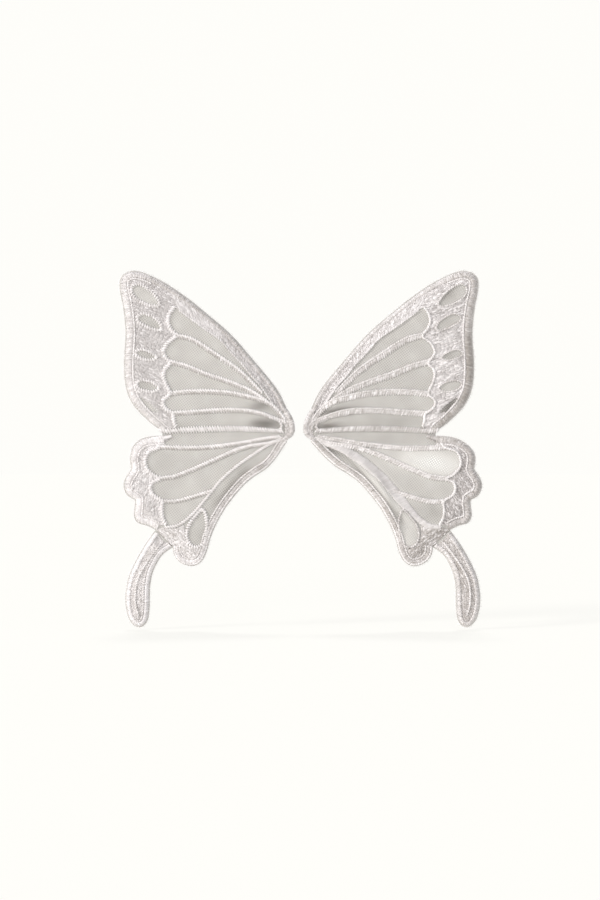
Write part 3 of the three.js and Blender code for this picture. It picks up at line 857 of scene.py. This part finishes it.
def hindwing_work(style):
    """The thread of a hindwing: {node's own name: work}."""
    outer, inner = outer_run(), spline(INNER_EDGE, LINE_STEP)
    windows = spline(HINDWING_WINDOWS, LINE_STEP)
    loop = spline(LOBE_LOOP, LOOP_STEP, closed=True)
    seeds = iter(range(style["seed"] + 40, style["seed"] + 60))
    made = {}

    work = made["outer_edge_cord"] = Work(next(seeds))
    border(work, outer, OUTER_WIDTH, style["hind_border_painted_light"])
    work.satin(spline(NOTCH_RUN, LINE_STEP), [1.4, 2.0, 2.6, 2.9], 0.95, tone=style["hind_border_painted_light"],
               teeth=0.05)
    work = made["inner_edge_cord"] = Work(next(seeds))
    border(work, inner, INNER_WIDTH, style["inner_tone"], piping_tone=0.7)
    work.satin(inset(inner, 0.8), 0.7, 0.4, 0.85, tone=1.2, teeth=0.35, slant=1.0)
    work = made["window_cord"] = Work(next(seeds))
    scallops(work, windows, style)

    work = made["main_vein"] = Work(next(seeds))
    work.satin(spline(TRUNK, LINE_STEP), style["trunk"], 0.45, tone=style["trunk_tone"],
               teeth=style["trunk_teeth"], slant=1.0, noise=0.1, grain=0.1)
    rib(work, BRANCH, style["rib"] * 0.7, style)
    for i, points in enumerate(HINDWING_VEINS):
        work = made[f"vein_{i + 1}"] = Work(next(seeds))
        rib(work, points, style["rib"] * 0.85, style)

    work = made["lobe_cord"] = Work(next(seeds))
    work.satin(overlapped(loop), style["caps"] * 0.9, 0.7, tone=style["loop_tone"], teeth=style["teeth"])
    work.tatami(np.array(LOBE_FILL), [], 35, tone=style["hind_fill"], sparkle=style["sparkle"] + 0.1)

    work = made["margin_fill"] = Work(next(seeds))
    region = np.vstack([inset(outer, OUTER_WIDTH * 0.85), windows[::-1], [(57, -3.6), (51, -2.6)]])
    work.tatami(region, [], -55, tone=style["hind_fill"], sparkle=style["sparkle"] + 0.1)
    work.underlay(region, [], 35)
    return made


def tail_work(style):
    """The thread of a tail: {node's own name: work}."""
    edge = spline(TAIL_EDGE, LINE_STEP)
    made = {"edge_cord": Work(style["seed"] + 80), "midrib_cord": Work(style["seed"] + 81)}
    border(made["edge_cord"], edge, TAIL_WIDTH - BORDER_MARGIN, style["tail_border_painted_light"],
           style["tail_piping"], 0.7)
    work = made["midrib_cord"]
    region = np.vstack([NECK_START + NECK_RUN, inset(edge, TAIL_WIDTH * 0.9), NECK_END - NECK_RUN])
    work.tatami(region, [], -62, rise=0.12, tone=style["tail_fill"], noise=0.2, sparkle=0.03)
    work.satin(spline(MIDRIB, LINE_STEP), [1.1, 1.0, 0.7], 0.6, tone=0.9, teeth=style["teeth"], slant=1.0)
    return made


def root_nub(wing, style):
    """The tack's bound rim, which bends from the garment into the forewing."""
    work = Work(style["seed"] + 90)
    rim = spline(ROOT_RIM, LOOP_STEP)
    work.satin(rim, [2.3, 2.5, 2.5, 2.2], BORDER_RISE, BORDER_BASE, tone=style["fore_border_painted_light"][0] + 0.2,
               teeth=0.08)
    region = np.vstack([rim, ROOT_INNER])
    work.tatami(region, [], 65, rise=0.3, tone=0.3)
    piece = thread_piece(f"{wing}_root_tack", wing, work, "satin_thread")
    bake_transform(piece)


# ------------------------------------------------------------------ cloth

CLOTH_STEP = 1.3  # between the vertices of the cloth
CREASE_GAP = 0.35  # no other vertex is this near to a crease
EDGE_GAP = 0.3
PUCKER_HEIGHT = 0.07
TAB = 1.6  # how far the tail's cloth runs on into the hindwing
FOLD_OVERLAP = 0.2  # how far the forewing's cloth runs on over the top of the hindwing's

# Where the cloth looks darker or lighter: u, w, the half sizes, the turn in degrees and the tone. Some of
# them are painted shade and light, as marked below.
TONE_AND_PAINTED_SHADE_PATCHES = {
    "left": [
        # painted shade: the third patch, a dark band along the hindwing's inner edge, on its side turned
        # away from the light
        (15, 3.6, 7, 2.0, 3, -1.4), (17, 11.6, 5, 2.0, -12, -1.1), (31, -24, 13, 2.6, -50, -0.75),
        (47, -45, 3.4, 6, 0, -0.1), (68, 60, 6, 3, 35, 0.15), (66, 48, 5, 2.5, 30, -0.25),
        (67, 34, 5, 2, 15, -0.3), (67, 20.5, 5, 2, 10, -0.25), (57, -14, 9, 4, 0, -0.1),
    ],
    "right": [
        (17, 9, 9, 1.8, 5, -1.6), (13, 2.4, 6, 1.6, 5, -1.5), (14, -8.4, 4.5, 1.6, -35, -1.3),
        (65.5, 61.5, 5, 3.4, 35, -0.6), (66.5, 11.4, 5, 2.2, 50, -1.5), (67, 49, 5, 2, 30, -0.2),
        (67, 34, 5, 2, 15, -0.25), (57.5, -13.6, 12, 4.2, -8, 1.5), (47, -24, 12, 3, -25, -0.15),
        (45, -3.5, 20, 2.2, 0, -0.3), (57, -36, 6, 4, 0, -0.4), (40, 5, 16, 2.5, 0, -0.3),
        # painted light and shade: the narrow stripes, three on this line and two on the next, light and
        # dark across the folds of the loose cloth
        (31, -22, 18, 1.1, -47, 0.6), (34, -27.5, 16, 1.0, -50, -0.7), (27, -11.5, 14, 0.9, -42, -0.5),
        (24, -16, 12, 0.8, -45, -0.5), (38, -20, 12, 0.8, -44, 0.4), (45, 30, 30, 25, 0, -0.12),
        (47, -45, 3.2, 7, 0, 0.35),
    ],
}


def organza(node, wing, outline, layer, creases):
    """One layer of cloth, cut to an outline. Creases are lines where it has to bend cleanly."""
    edge = resample(np.vstack([outline, outline[:1]]), CLOTH_STEP)[:-1]
    low, high = edge.min(0), edge.max(0)
    rows = [np.arange(low[k] + CLOTH_STEP / 2, high[k], CLOTH_STEP) for k in (0, 1)]
    grid = np.stack(np.meshgrid(*rows), -1).reshape(-1, 2)
    closed = np.vstack([edge, edge[:1]])
    for crease in creases:
        points = resample(np.array(crease, float), CLOTH_STEP)
        grid = np.vstack([grid[distance_to(points, grid) > CREASE_GAP], points])
    grid = grid[inside(edge, grid)]
    grid = grid[distance_to(closed, grid) > EDGE_GAP]
    edges = [(i, (i + 1) % len(edge)) for i in range(len(edge))]
    flat, _, faces, *_ = delaunay_2d_cdt([Vector(p) for p in np.vstack([edge, grid])], edges, [], 1, 1e-5)
    flat = np.array([tuple(p) for p in flat])
    depth = BACK_LAYER if layer == "back" else FRONT_LAYER
    waves = np.sin(flat[:, 0] * 1.3 + depth * 9), np.sin(flat[:, 1] * 1.1 + depth * 5)
    pucker = PUCKER_HEIGHT * sampled(CALM, flat) * waves[0] * waves[1]
    tones = np.zeros(len(flat))
    # the patches carry the cloth's tone and, for some of them, painted shade and light
    for u, w, long, short, turn, tone in TONE_AND_PAINTED_SHADE_PATCHES[wing]:
        c, s = math.cos(math.radians(turn)), math.sin(math.radians(turn))
        off = (flat - (u, w)) @ np.array([(c, -s), (s, c)])
        tones += tone * np.exp(-((off[:, 0] / long) ** 2) - (off[:, 1] / short) ** 2)
    verts = np.column_stack([flat, depth + pucker])
    piece = make_mesh(f"{node}_organza", wing, verts, [list(face) for face in faces], ORGANZA[layer], tones)
    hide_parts(f"{node}_sheer")
    return piece


def cloth_layers(wing):
    """Both layers of the forewing, hindwing and tail.

    The forewing's run on across the fold, and the tail's across its neck."""
    below = FOLD_BOTTOM - FOLD_OVERLAP
    fore = np.vstack([[(ROOT_START, below)], spline(LEADING_EDGE, CLOTH_STEP), [(60.9, below)]])
    fold_lines = [[(6, level), (60.3, level)] for level in (FOLD_TOP, FOLD, FOLD_BOTTOM)]
    hind = np.vstack([outer_run()[::2], spline(INNER_EDGE, CLOTH_STEP), [(ROOT_START, FOLD_BOTTOM)]])
    tab = NECK_OUT * -TAB
    tail = np.vstack([[NECK_OUTER + tab], spline(TAIL_EDGE, CLOTH_STEP), [NECK_INNER + tab]])
    neck_lines = [
        [NECK_OUTER + NECK_OUT * k + NECK_RUN * 0.5, NECK_INNER + NECK_OUT * k - NECK_RUN * 0.5]
        for k in (-0.5, 0, 0.5)
    ]
    neck = world(np.array([[*NECK_MIDDLE, 0.6]]), wing)[0]
    for layer in ("back", "front"):
        piece = organza(f"{wing}_forewing_{layer}", wing, fore, layer, fold_lines)
        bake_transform(piece)
        piece = organza(f"{wing}_hindwing_{layer}", wing, hind, layer, [])
        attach(piece, f"{wing}_hindwing")
        piece = organza(f"{wing}_tail_{layer}", wing, tail, layer, neck_lines)
        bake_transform(piece)


for wing, style in STYLE.items():
    root_nub(wing, style)
    for part, made in (("forewing", forewing_work(style)), ("hindwing", hindwing_work(style)),
                       ("tail", tail_work(style))):
        for node, work in made.items():
            slot = "fill_thread" if node.endswith("fill") else "satin_thread"
            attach(thread_piece(f"{wing}_{part}_{node}", wing, work, slot), f"{wing}_{part}")
    cloth_layers(wing)
